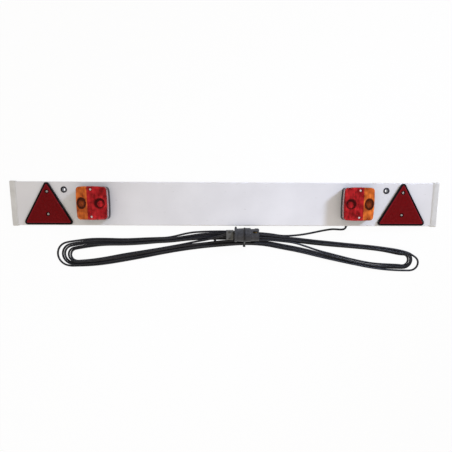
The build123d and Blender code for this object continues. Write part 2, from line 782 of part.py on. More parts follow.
def plug_space():
    """Room that the plug and its tie take up, with a little clearance, for the hank to lie round."""
    room = rod(0, 0, flange_from, shell_from, flange_size + 2 * plug_fit)
    room += rod(0, 0, shell_from, collar_from, shell_front_size + 2 * plug_fit)
    room += rod(0, 0, collar_from, collar_to, collar_size + 2 * plug_fit)
    room += rod(0, 0, collar_to, plug_long, sleeve_size + 2 * plug_fit)
    return along_plug(room)


def strand_offsets(count, gap, pitch):
    """Places across the hank of its strands, outwards from the second one."""
    return [gap, 0, -pitch, -pitch - max(pitch, cable_size)][:count]


def row_edge(row, count, inner):
    """Points along the outer or inner edge of one row of the hank."""
    points = []
    for i, (x, y, gap, pitch) in enumerate(row):
        before = row[max(i - 1, 0)]
        after = row[min(i + 1, len(row) - 1)]
        run = Vector(after[0] - before[0], after[1] - before[1]).normalized()
        across = strand_offsets(count, gap, pitch)
        reach = across[-1] - cable_size / 2 if inner else across[0] + cable_size / 2
        points.append((x + run.Y * reach, y - run.X * reach))
    return points


def turn_edge(turn, angles, inner):
    """Points along the outer or inner edge of one end turn of the hank."""
    x, y, radius = turn[-1] if inner else turn[0]
    radius += -cable_size / 2 if inner else cable_size / 2
    points = []
    for i in range(turn_steps):
        angle = math.radians(angles[0] + (angles[1] - angles[0]) * i / (turn_steps - 1))
        points.append((x + radius * math.cos(angle), y + radius * math.sin(angle)))
    return points


def edge_at_tie(row, count):
    """How far out a row of the hank reaches where the tie passes it."""
    return min(row_edge(row, count, False), key=lambda point: abs(point[0] - tie_x))[1]


def tie_section():
    """Area inside the hank tie: the plug's barrel and the strands that lie under it."""
    high_y = edge_at_tie(UPPER_LEFT_ROW, len(LEFT_TURN))
    low_y = edge_at_tie(LOWER_MIDDLE_ROW, len(RIGHT_TURN))
    strands = Pos((low_y + high_y) / 2, tie_thick + cable_size / 2) * Rectangle(high_y - low_y, cable_size)
    barrel = Pos(plug_y, plug_z) * Circle(tied_size / 2)
    return make_hull(strands.edges() + barrel.edges())


def tie_band():
    """Closed strap round the plug and the strands."""
    band = extrude(Plane.YZ * offset(tie_section(), amount=tie_thick), amount=tie_wide / 2, both=True)
    band -= extrude(Plane.YZ * tie_section(), amount=tie_wide, both=True)
    return Pos(tie_x, 0, 0) * band & block((-overall_length, overall_length), (-overall_length, 0),
                                           (0, overall_length))


def hank_tie():
    """Nylon tie that holds the plug on the middle of the hank, with its locking head."""
    face = edge_at_tie(LOWER_MIDDLE_ROW, len(RIGHT_TURN)) - tie_thick
    head = block((tie_x - tie_head_wide / 2, tie_x + tie_head_wide / 2), (face - tie_head_long, face),
                 (0, tie_head_high))
    head = fillet(head.edges().filter_by(Axis.Z), tie_head_round)
    return tie_band() + head


def smooth_loop(points):
    """Face inside a closed line of straight runs joined by arcs as large as the runs allow."""
    spots = [Vector(*p) for p in points]
    runs = [b - a for a, b in zip(spots[-1:] + spots, spots + spots[:1])]
    return make_face(FilletPolyline(*spots, radius=bend_radii(runs), close=True))


def cable_hank():
    """One closed solid of the hank's outer shape, with the openings of its two loops."""
    outer = row_edge(UPPER_LEFT_ROW, len(LEFT_TURN), False)
    outer += turn_edge(LEFT_TURN, LEFT_TURN_ANGLES, False)
    outer += row_edge(LOWER_LEFT_ROW, len(LEFT_TURN), False)
    outer += row_edge(LOWER_MIDDLE_ROW + LOWER_RIGHT_ROW, len(RIGHT_TURN), False)
    outer += turn_edge(RIGHT_TURN, RIGHT_TURN_ANGLES, False)
    outer += row_edge(UPPER_RIGHT_ROW, len(RIGHT_TURN), False)
    past_plug = [station for station in UPPER_LEFT_ROW if station[0] < left_opening_x]
    past_spread = [station for station in LOWER_RIGHT_ROW if station[0] > right_opening_x]
    left_hole = row_edge(past_plug, len(LEFT_TURN), True)
    left_hole += turn_edge(LEFT_TURN, LEFT_TURN_ANGLES, True)
    left_hole += row_edge(LOWER_LEFT_ROW, len(LEFT_TURN), True)
    left_hole += row_edge(LOWER_MIDDLE_ROW[:-1], len(RIGHT_TURN), True)
    right_hole = row_edge(past_spread, len(RIGHT_TURN), True)
    right_hole += turn_edge(RIGHT_TURN, RIGHT_TURN_ANGLES, True)
    right_hole += row_edge(UPPER_RIGHT_ROW[:-1], len(RIGHT_TURN), True)
    hank = extrude(smooth_loop(outer), amount=hank_high)
    for hole in (left_hole, right_hole):
        hank -= extrude(smooth_loop(hole), amount=hank_high)
    return hank - plug_space() - tie_band()


def tail_tie():
    """Small tie wrapped round the tail beside the plug, with its head and cut end."""
    runs = [(Vector(*a), Vector(*b)) for a, b in zip(TAIL, TAIL[1:])]
    before, after = next(run for run in runs if run[0].X < tail_tie_x < run[1].X)
    place = Plane((before + after) / 2, x_dir=(0, -1, 0), z_dir=after - before)
    inside = cable_size / 2 + tie_fit
    outside = inside + tie_thick
    tie = Cylinder(outside, tail_tie_long)
    tie += block((0, outside + tail_tie_head), (-tail_tie_head / 2, tail_tie_head / 2), (-tie_wide, 0))
    tie += block((0, outside + tail_tie_end), (-tie_thick / 2, tie_thick / 2), (0, tie_wide / 2))
    return place * (tie - Cylinder(inside, 2 * tail_tie_long))


def write(name, shape):
    export_step(shape, os.path.join("parts", name + ".step"))


os.makedirs("parts", exist_ok=True)
write("board_panel", board_panel())
for side, word in ((-1, "left"), (1, "right")):
    write("end_cap_" + word, end_cap(side))
    write("eyelet_" + word, eyelet(side))
    write("eyelet_ring_" + word, eyelet_back_ring(side))
    write("reflector_tray_" + word, reflector_tray(side))
    write("reflector_lens_" + word, reflector_lens(side))
write("reflector_screws", reflector_screws())
for name, piece in lamp_pieces().items():
    placed = Pos(lamp_x, lamp_above_middle, board_front) * piece
    write("lamp_" + name + "_right", placed)
    write("lamp_" + name + "_left", mirror(placed, about=Plane.YZ))
write("link_cable", link_cable())
write("feed_cable", feed_cable())
write("lead_grommet", lead_grommet())
hank = cable_hank()
write("cable_hank", hank)
write("lead_cable", tube(LEAD, cable_size) - hank)
write("tail_cable", tube(TAIL, cable_size) - hank)
write("hank_tie", hank_tie())
write("tail_tie", tail_tie())
write("plug_rear_shell", plug_rear_shell())
write("plug_clamp", plug_clamp())
write("plug_clamp_screws", plug_clamp_screws())
write("plug_seal", plug_seal())
write("plug_front_body", plug_front_body())
write("plug_insert", plug_insert())
write("plug_pins", plug_pins())
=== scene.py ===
# %% [markdown]
# # Trailer lighting board
# The object is a long white plastic board with two rear lamps, two red triangles and a lead that is
# wound into a hank. Its solid parts come ready made, so this lesson loads them as a fixed frame, draws
# the lead as one long curve, gives every part its finish, and adds the bulbs, the floor and the light.
# Everything is in metres, in the frame of the ready-made parts.

import math

import bmesh
import bpy
from mathutils import Matrix, Vector


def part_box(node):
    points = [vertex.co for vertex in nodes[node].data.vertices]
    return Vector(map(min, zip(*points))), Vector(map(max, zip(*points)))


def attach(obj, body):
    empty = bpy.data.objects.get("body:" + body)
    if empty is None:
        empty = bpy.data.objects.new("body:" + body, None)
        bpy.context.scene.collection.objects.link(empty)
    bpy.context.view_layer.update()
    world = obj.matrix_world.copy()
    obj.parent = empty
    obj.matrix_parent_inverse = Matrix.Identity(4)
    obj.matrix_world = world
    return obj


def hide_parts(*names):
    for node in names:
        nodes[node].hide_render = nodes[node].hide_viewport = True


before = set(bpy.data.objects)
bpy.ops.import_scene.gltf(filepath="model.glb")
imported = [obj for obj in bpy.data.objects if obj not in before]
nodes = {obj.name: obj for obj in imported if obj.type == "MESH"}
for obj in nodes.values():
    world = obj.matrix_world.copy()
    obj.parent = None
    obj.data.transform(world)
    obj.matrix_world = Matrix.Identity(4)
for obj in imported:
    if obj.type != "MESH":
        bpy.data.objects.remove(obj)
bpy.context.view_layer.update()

# %% [markdown]
# ## Camera
# The board was photographed from above, about a metre and a half away and tilted a little. A camera
# could be aimed with a Track To constraint, but the tilt also sets how the ends of the board converge,
# so the place, the turn and the lens are written down as they were worked out from the board's corners.
# The picture is square and the board fills its middle, which is what the two shifts are for.

# %% Set the camera
camera_lens = bpy.data.cameras.new("camera")
camera_lens.sensor_width = 36.0
camera_lens.lens = 36.64
camera_lens.shift_x = -0.01866
camera_lens.shift_y = 0.1249
camera = bpy.data.objects.new("camera", camera_lens)
camera.location = (0.0, 0.040, 1.517)
camera.rotation_euler = (-0.1952, -0.0177, 0.0043)
bpy.context.scene.collection.objects.link(camera)
bpy.context.scene.camera = camera
print("camera", tuple(camera.location), "lens", camera_lens.lens)

# %% [markdown]
# ## Route of the lead
# The lead leaves the board's lower edge, is wound four and a half times round a long hank, and ends in
# a plug that is tied on the hank's middle. A simulation would never lie in these rows, so the hank is
# described by stations along its rows. Each station gives the place of the second strand, the gap out
# to the outermost strand, the pitch in to the third, and the room from there in to the innermost. The
# end turns are arcs, one for each strand.

# %% Stations of the hank
cable_size = 0.0065
tie_thick = 0.0013
tie_x = 0.0595
tie_reach = 0.003
swap_x = 0.225
turn_steps = 7
left_angles = (90, 270)
right_angles = (-90, 65)

upper_left_row = [
    (0.183, -0.1064, 0.0034, 0.0034, 0.0063), (0.145, -0.1013, 0.005, 0.005, 0.0063),
    (0.109, -0.0985, 0.005, 0.005, 0.009), (0.062, -0.0967, 0.0063, 0.0063, 0.0126),
    (0, -0.094, 0.0062, 0.0061, 0.0124), (-0.07, -0.0952, 0.0062, 0.006, 0.0124),
    (-0.12, -0.1028, 0.0103, 0.0061, 0.0063), (-0.184, -0.113, 0.0039, 0.0039, 0.0063),
    (-0.225, -0.1145, 0.0039, 0.0039, 0.0063), (-0.27, -0.1175, 0.0054, 0.0054, 0.0063),
    (-0.331, -0.121, 0.0057, 0.0057, 0.0063), (-0.396, -0.1192, 0.006, 0.0059, 0.008),
    (-0.445, -0.12, 0.0062, 0.0061, 0.0124),
]
lower_left_row = [
    (-0.45, -0.1958, 0.006, 0.0058, 0.0063), (-0.4, -0.1905, 0.0062, 0.0062, 0.0075),
    (-0.333, -0.1792, 0.0062, 0.0062, 0.0095), (-0.267, -0.1668, 0.0062, 0.0062, 0.0075),
    (-0.201, -0.154, 0.0056, 0.0056, 0.0063), (-0.135, -0.1423, 0.0062, 0.0062, 0.0063),
    (-0.069, -0.1356, 0.0044, 0.0044, 0.0088), (-0.0035, -0.1289, 0.0053, 0.0053, 0.0106),
    (0.06, -0.126, 0.0033, 0.0033, 0.0072),
]
lower_right_row = [
    (0.127, -0.1264, 0.006, 0.006, 0.0059), (0.184, -0.138, 0.0062, 0.0062, 0.0123),
    (0.222, -0.1447, 0.0062, 0.0062, 0.0145), (0.261, -0.1528, 0.0062, 0.0062, 0.0098),
    (0.3, -0.1625, 0.0062, 0.0062, 0.0062), (0.346, -0.1735, 0.0058, 0.0056, 0.0062),
    (0.413, -0.1894, 0.0041, 0.0041, 0.0063), (0.481, -0.2033, 0.0038, 0.0038, 0.0063),
    (0.532, -0.2082, 0.0062, 0.0056, 0.006), (0.578, -0.2094, 0.008, 0.0054, 0.0056),
]
upper_right_row = [
    (0.576, -0.1527, 0.0041, 0.0041, 0.0063), (0.528, -0.1446, 0.0034, 0.0034, 0.0045),
    (0.478, -0.1383, 0.0033, 0.0033, 0.0042), (0.41, -0.1323, 0.0033, 0.0033, 0.0042),
    (0.344, -0.126, 0.0035, 0.0035, 0.0051), (0.277, -0.1194, 0.0035, 0.0035, 0.005),
    (0.23, -0.1135, 0.0035, 0.0035, 0.005),
]
left_turn = [
    (-0.5145, -0.1635, 0.0387), (-0.5027, -0.1635, 0.0335), (-0.5021, -0.164, 0.0275),
    (-0.494, -0.165, 0.0226), (-0.4905, -0.1665, 0.0195),
]
right_turn = [
    (0.6165, -0.1925, 0.0245), (0.5926, -0.182, 0.027), (0.5908, -0.1815, 0.0226),
    (0.589, -0.1815, 0.0185),
]
loose_bend = (0.606, -0.157, 0.0104)
crossing_rise = {0.127: 0.0055, 0.184: 0.0057, 0.222: 0.0063}
free_lead = [
    (0.3925, -0.0702, 0.0095), (0.3925, -0.0729, 0.0095), (0.3898, -0.0775, 0.0088),
    (0.3852, -0.0802, 0.0079), (0.3785, -0.0811, 0.0066), (0.3685, -0.0809, 0.005),
    (0.35, -0.0798, 0.0035), (0.327, -0.0832, 0.00325), (0.302, -0.0882, 0.00325),
    (0.276, -0.0938, 0.00325), (0.25, -0.0984, 0.00325), (0.22, -0.1018, 0.00325),
]
free_tail = [
    (-0.125, -0.1272, 0.004), (-0.094, -0.1206, 0.0076), (-0.066, -0.1154, 0.0136),
    (-0.047, -0.1106, 0.0194), (-0.027, -0.1043, 0.0254), (-0.014, -0.0998, 0.029),
    (-0.005, -0.0975, 0.0303), (0.004, -0.0975, 0.0303),
]
rows = [upper_left_row, lower_left_row, lower_right_row, upper_right_row]
print(sum(len(row) for row in rows), "stations in four rows")

# %% [markdown]
# ## Strands from stations
# Where two neighbours lie closer than a cable's thickness, the strand between them is squeezed up and
# rides on top. Its height follows from the triangle of the three round sections, so it is worked out and
# not typed. A strand that comes back from the right moves in by one lane, so the odd lanes ride on top in
# the left loop and the even ones in the right loop: then a strand on top stays on top. Under the tie all
# strands lie on the strap. A strand that is raised at both ends of a turn bridges it. A point on a turn is
# set a little outside its arc, because the curve passes inside its control points, and one more point
# leads in and out of a turn, because a sudden change of spacing would make a kink.

# %% Work out the strands
def squeezed_up(room):
    """Height that a strand gains when its neighbours leave it too little room."""
    return math.sqrt(cable_size**2 - room**2) if room < cable_size else 0.0


def lay_of(station, lane, strands):
    """How far outwards of the second strand a strand lies at a station, and how high it rides."""
    x, _, gap, pitch, room = station
    between = [gap, pitch, room / 2, room / 2] if strands == len(left_turn) else [gap, pitch, room]
    outwards = gap - sum(between[:lane])
    on_top = lane % 2 == (1 if x < swap_x else 0)
    rise = squeezed_up(min(between[max(lane - 1, 0):lane + 1])) if on_top else 0.0
    if lane == len(right_turn) - 1:
        rise = max(rise, crossing_rise.get(x, 0.0))
    return outwards, rise + (tie_thick if abs(x - tie_x) < tie_reach else 0.0)


def row_strand(row, lane, strands):
    """Points of one strand along a row of stations."""
    points = []
    for i, station in enumerate(row):
        x, y = station[:2]
        before, after = row[max(i - 1, 0)], row[min(i + 1, len(row) - 1)]
        run = Vector((after[0] - before[0], after[1] - before[1])).normalized()
        outwards, rise = lay_of(station, lane, strands)
        points.append((x + run.y * outwards, y - run.x * outwards, cable_size / 2 + rise))
    return points


def turn_strand(turn, angles, lane, heights):
    """Points of one strand round an end of the hank, between the heights of the rows it joins."""
    x, y, radius = turn[lane]
    step = math.radians(angles[1] - angles[0]) / (turn_steps - 1)
    reach = radius / math.cos(step / 2)
    points = []
    for i in range(turn_steps):
        angle = math.radians(angles[0]) + step * i
        height = heights[0] + (heights[1] - heights[0]) * i / (turn_steps - 1)
        points.append((x + reach * math.cos(angle), y + reach * math.sin(angle), height))
    return points


def joined(before, turn, after):
    """A turn with a point on the way in and out, spaced like its own points, where there is room."""
    ways = []
    for end, beyond in ((turn[0], before), (turn[-1], after)):
        share = math.dist(turn[0], turn[1]) / math.dist(end, beyond)
        ways.append([tuple(Vector(end).lerp(Vector(beyond), share))] if share < 0.5 else [])
    return ways[0] + turn + ways[1]


route = list(free_lead)
for lane in range(len(left_turn)):
    out = row_strand(upper_left_row, lane, len(left_turn))
    back = row_strand(lower_left_row, lane, len(left_turn))
    if lane == len(left_turn) - 1:
        # The last strand leaves the row for the plug.
        back = [point for point in back if point[0] < free_tail[0][0]]
    turn = turn_strand(left_turn, left_angles, lane, (out[-1][2], back[0][2]))
    route += out + joined(out[-1], turn, back[0]) + back
    if lane < len(right_turn):
        out = row_strand(lower_right_row, lane, len(right_turn))
        back = row_strand(upper_right_row, lane, len(right_turn))
        turn = turn_strand(right_turn, right_angles, lane, (out[-1][2], back[0][2]))
        back = [loose_bend] + back if lane == 0 else back
        route += out + joined(out[-1], turn, back[0]) + back
route += free_tail
print("the lead's route has", len(route), "points")

# %% [markdown]
# ## The lead itself
# A cable is round and smooth, so a curve with a bevel is the shortest way to it. A NURBS spline never
# kinks between its points, where a chain of straight runs would look like bent wire. The thickness is
# the radius of each point, times a bevel of one metre, because the box of a curve grows by that radius.
# The order and end point settings only take hold once the points are there, so they come last.

# %% Draw the lead
lead_curve = bpy.data.curves.new("lead", "CURVE")
lead_curve.dimensions = "3D"
lead_curve.bevel_depth = 1.0
lead_curve.bevel_resolution = 5
lead_curve.resolution_u = 8
lead_curve.use_fill_caps = True
strand = lead_curve.splines.new("NURBS")
strand.points.add(len(route) - 1)
for point, place in zip(strand.points, route):
    point.co = (*place, 1.0)
    point.radius = cable_size / 2
strand.order_u = 3
strand.use_endpoint_u = True

lead = bpy.data.objects.new("lead", lead_curve)
bpy.context.scene.collection.objects.link(lead)
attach(lead, "root")
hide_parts("lead_cable", "cable_hank", "tail_cable")
print("lead drawn with", len(strand.points), "points")

# %% [markdown]
# ## Building blocks for finishes
# Real plastic, rubber and metal are never one flat colour: they carry a grain, patches of gloss and a
# little dirt. All of that can be built from a few texture nodes, so these helpers make a new material,
# add a noise to it, turn the noise into colours or gloss, and press it into the surface as a bump. They
# read Object coordinates, which stay fixed to the part.

# %% Helpers for finishes
def new_finish(name):
    """New material: returns it with its node tree, its shader and its Object coordinates."""
    finish = bpy.data.materials.new(name)
    finish.use_nodes = True
    tree = finish.node_tree
    place = tree.nodes.new("ShaderNodeTexCoord").outputs["Object"]
    return finish, tree, tree.nodes["Principled BSDF"], place


def stretched(tree, place, scale, shift=(0.0, 0.0, 0.0)):
    """Coordinates scaled along each axis and then shifted."""
    mapping = tree.nodes.new("ShaderNodeMapping")
    mapping.inputs["Scale"].default_value = scale
    mapping.inputs["Location"].default_value = shift
    tree.links.new(place, mapping.inputs["Vector"])
    return mapping.outputs["Vector"]


def reckon(tree, operation, first, second=0.0):
    """Result of a sum on two values, each an output of a node or a number."""
    node = tree.nodes.new("ShaderNodeMath")
    node.operation = operation
    for socket, value in zip(node.inputs, (first, second)):
        if isinstance(value, float):
            socket.default_value = value
        else:
            tree.links.new(value, socket)
    return node.outputs[0]


def mirrored(tree, place, middle_x, middle_y):
    """X, Y and Z from the middle of a part that the board has on both sides; X grows outwards."""
    parted = tree.nodes.new("ShaderNodeSeparateXYZ")
    tree.links.new(place, parted.inputs[0])
    across = reckon(tree, "SUBTRACT", reckon(tree, "ABSOLUTE", parted.outputs["X"]), middle_x)
    return across, reckon(tree, "SUBTRACT", parted.outputs["Y"], middle_y), parted.outputs["Z"]


def middle_of(name):
    """Middle of a part's box."""
    low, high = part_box(name)
    return [(a + b) / 2 for a, b in zip(low, high)]


def noise(tree, place, size, detail=3.0):
    """Cloudy noise with features of about the given size in metres."""
    node = tree.nodes.new("ShaderNodeTexNoise")
    node.inputs["Scale"].default_value = 1.0 / size
    node.inputs["Detail"].default_value = detail
    tree.links.new(place, node.inputs["Vector"])
    return node.outputs["Fac"]


def colours(tree, value, stops):
    """Colour ramp with the given (position, colour) stops."""
    ramp = tree.nodes.new("ShaderNodeValToRGB")
    steps = ramp.color_ramp.elements
    while len(steps) < len(stops):
        steps.new(0.5)
    for step, (position, colour) in zip(steps, stops):
        step.position = position
        step.color = (*colour, 1.0)
    tree.links.new(value, ramp.inputs["Fac"])
    return ramp.outputs["Color"]


def spread(tree, value, low, high):
    """Value from 0 to 1 spread between two numbers."""
    node = tree.nodes.new("ShaderNodeMapRange")
    node.inputs["To Min"].default_value = low
    node.inputs["To Max"].default_value = high
    tree.links.new(value, node.inputs["Value"])
    return node.outputs["Result"]


def press_in(tree, shader, height, depth, strength=1.0):
    """Bump of the given depth in metres."""
    node = tree.nodes.new("ShaderNodeBump")
    node.inputs["Distance"].default_value = depth
    node.inputs["Strength"].default_value = strength
    tree.links.new(height, node.inputs["Height"])
    tree.links.new(node.outputs["Normal"], shader.inputs["Normal"])


def paint(finish, *names):
    """Gives parts their finish."""
    for name in names:
        nodes[name].material_slots[0].material = finish
    print(finish.name, "on", len(names), "parts")


def both_sides(*names):
    """Names of a pair of parts, left and right."""
    return [f"{name}_{side}" for name in names for side in ("left", "right")]


print("helpers for finishes ready")

# %% [markdown]
# ## Cable sheath
# The sheath is black PVC: dark, with a soft broad shine along its top. A flat black would lose its shape
# on the floor, so faint dusty patches vary the colour, and a fine grain breaks up the shine.

# %% Finish the cable
sheath, tree, shader, place = new_finish("cable_sheath")
dust = noise(tree, place, 0.09, 4.0)
tree.links.new(colours(tree, dust, [(0.35, (0.009, 0.010, 0.014)), (0.75, (0.022, 0.023, 0.030))]),
               shader.inputs["Base Color"])
tree.links.new(spread(tree, dust, 0.36, 0.48), shader.inputs["Roughness"])
shader.inputs["Specular IOR Level"].default_value = 0.5
press_in(tree, shader, noise(tree, place, 0.0008, 2.0), 0.00004, 0.4)
lead.data.materials.append(sheath)
paint(sheath, "link_cable", "feed_cable")

# %% [markdown]
# ## Board
# The board is extruded: it comes out of its die with faint lines along its length and a satin gloss. A
# noise that is stretched along X gives those lines. A second, cloudy noise makes the white a little
# uneven, and a sparse third one leaves the scuffs and specks of a used board.

# %% Finish the board
board_white, tree, shader, place = new_finish("board_white")
clouds = noise(tree, place, 0.12, 4.0)
white = colours(tree, clouds, [(0.3, (0.71, 0.71, 0.715)), (0.7, (0.78, 0.78, 0.785))])
scuffs = noise(tree, stretched(tree, place, (0.35, 1.0, 1.0)), 0.006, 6.0)
marks = colours(tree, scuffs, [(0.66, (1.0, 1.0, 1.0)), (0.76, (0.80, 0.79, 0.77))])
scuffed = tree.nodes.new("ShaderNodeMix")
scuffed.data_type = "RGBA"
scuffed.blend_type = "MULTIPLY"
scuffed.inputs[0].default_value = 0.7
tree.links.new(white, scuffed.inputs[6])
tree.links.new(marks, scuffed.inputs[7])
tree.links.new(scuffed.outputs[2], shader.inputs["Base Color"])
die_lines = noise(tree, stretched(tree, place, (0.02, 1.0, 1.0)), 0.0025, 3.0)
tree.links.new(spread(tree, die_lines, 0.38, 0.55), shader.inputs["Roughness"])
press_in(tree, shader, die_lines, 0.0002, 0.4)
paint(board_white, "board_panel")

# %% [markdown]
# ## Moulded plastics and rubbers
# Many parts are plain mouldings that differ only in colour, gloss and grain: the end caps, the lamp
# bases, the plug. One function makes them all. It takes the two shades that the surface wavers between,
# the range of its roughness and the size of its grain.

# %% Finish the mouldings
def moulding(name, dark, light, roughness, grain, patch=0.02, gloss=0.3):
    """Moulded plastic or rubber with uneven shade and gloss and a pressed-in grain."""
    finish, tree, shader, place = new_finish(name)
    shader.inputs["Specular IOR Level"].default_value = gloss
    patches = noise(tree, place, patch, 4.0)
    tree.links.new(colours(tree, patches, [(0.3, dark), (0.7, light)]), shader.inputs["Base Color"])
    tree.links.new(spread(tree, patches, *roughness), shader.inputs["Roughness"])
    press_in(tree, shader, noise(tree, place, grain, 2.0), grain / 6, 0.6)
    return finish


cap_white = moulding("cap_white", (0.60, 0.60, 0.575), (0.68, 0.68, 0.66), (0.35, 0.5), 0.0010, 0.03)
paint(cap_white, *both_sides("end_cap"))
tray_black = moulding("tray_black", (0.005, 0.003, 0.003), (0.011, 0.006, 0.007), (0.25, 0.42), 0.0010,
                      gloss=0.2)
paint(tray_black, *both_sides("reflector_tray"))
base_black = moulding("base_black", (0.012, 0.012, 0.013), (0.028, 0.028, 0.030), (0.35, 0.55), 0.0008)
paint(base_black, *both_sides("lamp_base"))
rubber = moulding("rubber", (0.014, 0.014, 0.014), (0.030, 0.030, 0.029), (0.6, 0.8), 0.0006)
paint(rubber, *both_sides("lamp_gasket", "lamp_seal"), "lead_grommet", "plug_seal")
liner_white = moulding("liner_white", (0.84, 0.83, 0.82), (0.92, 0.91, 0.90), (0.25, 0.4), 0.0010)
paint(liner_white, *both_sides("lamp_liner"))
socket_dark = moulding("socket_dark", (0.012, 0.010, 0.009), (0.030, 0.026, 0.024), (0.4, 0.6), 0.0008)
paint(socket_dark, *both_sides("lamp_indicator_socket", "lamp_stop_socket"))
tie_nylon = moulding("tie_nylon", (0.010, 0.010, 0.011), (0.024, 0.024, 0.026), (0.35, 0.5), 0.0008)
paint(tie_nylon, "hank_tie", "tail_tie")
plug_grey = moulding("plug_grey", (0.036, 0.037, 0.040), (0.064, 0.065, 0.070), (0.38, 0.58), 0.0009, 0.012)
paint(plug_grey, "plug_rear_shell", "plug_front_body", "plug_insert")
clamp_grey = moulding("clamp_grey", (0.085, 0.086, 0.080), (0.130, 0.131, 0.122), (0.4, 0.6), 0.0009, 0.012)
paint(clamp_grey, "plug_clamp")

# %% [markdown]
# ## Metal parts
# Eyelets, screws and pins are metal, so their colour is the colour of their reflections. What tells
# plated steel from brass is the tint, and what makes both look handled is an uneven roughness with fine
# scratches, here a noise with a small feature size.

# %% Finish the metal
def worn_metal(name, dull, bright, roughness, bare=1.0):
    """Metal with tarnished patches and fine scratches; bare is the share that no film covers."""
    finish, tree, shader, place = new_finish(name)
    shader.inputs["Metallic"].default_value = bare
    tarnish = noise(tree, place, 0.004, 5.0)
    tree.links.new(colours(tree, tarnish, [(0.3, dull), (0.7, bright)]), shader.inputs["Base Color"])
    tree.links.new(spread(tree, tarnish, *roughness), shader.inputs["Roughness"])
    press_in(tree, shader, noise(tree, place, 0.0006, 3.0), 0.00006, 0.5)
    return finish


eyelet_metal = worn_metal("eyelet_metal", (0.08, 0.08, 0.10), (0.16, 0.16, 0.19), (0.3, 0.5))
paint(eyelet_metal, *both_sides("eyelet", "eyelet_ring"))
screw_zinc = worn_metal("screw_zinc", (0.78, 0.72, 0.70), (0.94, 0.88, 0.86), (0.25, 0.42), 0.1)
paint(screw_zinc, *both_sides("lamp_lens_screws", "lamp_base_screws"))
screw_dull = worn_metal("screw_dull", (0.36, 0.33, 0.30), (0.54, 0.49, 0.46), (0.35, 0.55), 0.2)
paint(screw_dull, "reflector_screws")
screw_dark = worn_metal("screw_dark", (0.06, 0.06, 0.055), (0.12, 0.12, 0.11), (0.4, 0.6), 0.5)
paint(screw_dark, "plug_clamp_screws")
brass = worn_metal("brass", (0.50, 0.36, 0.13), (0.74, 0.56, 0.24), (0.2, 0.38))
paint(brass, *both_sides("lamp_contact_plates"), "plug_pins")

# %% [markdown]
# ## Red triangles
# A triangle reflector is a block of red plastic with thousands of tiny prisms on its back, each of which
# sends light its own way, so it looks dark and mottled. Modelling every prism would cost far too many
# faces. A Voronoi texture splits the surface into cells instead, each with its own shade of red, as painted
# glints. A border without prisms runs round the edge and looks brighter, and the screw recesses get painted
# shade, nearly black. The border comes from the distance to the triangle's sides, the painted shade from
# the height.

# %% Finish the triangles
prism_pitch = 0.0018
corner_radius = 0.0033
border = 0.0030
border_fade = 0.0008
recess_shade_start = 0.0005
recess_shade_end = 0.0012

prism_red, tree, shader, place = new_finish("prism_red")
prisms = tree.nodes.new("ShaderNodeTexVoronoi")
prisms.inputs["Scale"].default_value = 1.0 / prism_pitch
prisms.inputs["Randomness"].default_value = 0.55
tree.links.new(place, prisms.inputs["Vector"])
glints = tree.nodes.new("ShaderNodeSeparateColor")
tree.links.new(prisms.outputs["Color"], glints.inputs["Color"])
# Painted glints: each prism cell gets its own shade of red for the light it sends back.
shades = [(0.0, (0.12, 0.0016, 0.003)), (0.6, (0.14, 0.002, 0.003)), (1.0, (0.19, 0.004, 0.006))]
field = colours(tree, glints.outputs["Red"], shades)

low_corner, high_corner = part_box("reflector_lens_right")
middle_x = (low_corner[0] + high_corner[0]) / 2
inner_radius = (high_corner[0] - low_corner[0] - 2 * corner_radius) / (2 * math.sqrt(3)) + corner_radius
across, up, height = mirrored(tree, place, middle_x, low_corner[1] + inner_radius)
slant = reckon(tree, "MULTIPLY", reckon(tree, "ABSOLUTE", across), math.sqrt(3) / 2)
slant = reckon(tree, "ADD", slant, reckon(tree, "MULTIPLY", up, 0.5))
reach = reckon(tree, "MAXIMUM", slant, reckon(tree, "MULTIPLY", up, -1.0))
rim = tree.nodes.new("ShaderNodeMapRange")
rim.inputs["From Min"].default_value = inner_radius - border - border_fade
rim.inputs["From Max"].default_value = inner_radius - border
tree.links.new(reach, rim.inputs["Value"])
# Painted shade: below the triangle's top face the screw recesses turn nearly black.
recess_shade = tree.nodes.new("ShaderNodeMapRange")
recess_shade.inputs["From Min"].default_value = high_corner[2] - recess_shade_start
recess_shade.inputs["From Max"].default_value = high_corner[2] - recess_shade_end
tree.links.new(height, recess_shade.inputs["Value"])


def layered(tree, below, above, share):
    """One colour laid over another."""
    node = tree.nodes.new("ShaderNodeMix")
    node.data_type = "RGBA"
    tree.links.new(share, node.inputs[0])
    for socket, colour in ((node.inputs[6], below), (node.inputs[7], above)):
        if isinstance(colour, tuple):
            socket.default_value = (*colour, 1.0)
        else:
            tree.links.new(colour, socket)
    return node.outputs[2]


red = layered(tree, field, (0.20, 0.005, 0.010), rim.outputs["Result"])
# The painted shade of the recesses is laid over the red.
red = layered(tree, red, (0.010, 0.001, 0.001), recess_shade.outputs["Result"])
tree.links.new(red, shader.inputs["Base Color"])
tree.links.new(spread(tree, glints.outputs["Green"], 0.12, 0.4), shader.inputs["Roughness"])
shader.inputs["Specular IOR Level"].default_value = 0.15
shader.inputs["Coat Weight"].default_value = 0.1
shader.inputs["Coat Roughness"].default_value = 0.06
press_in(tree, shader, prisms.outputs["Distance"], 0.0004, 0.3)
paint(prism_red, *both_sides("reflector_lens"))
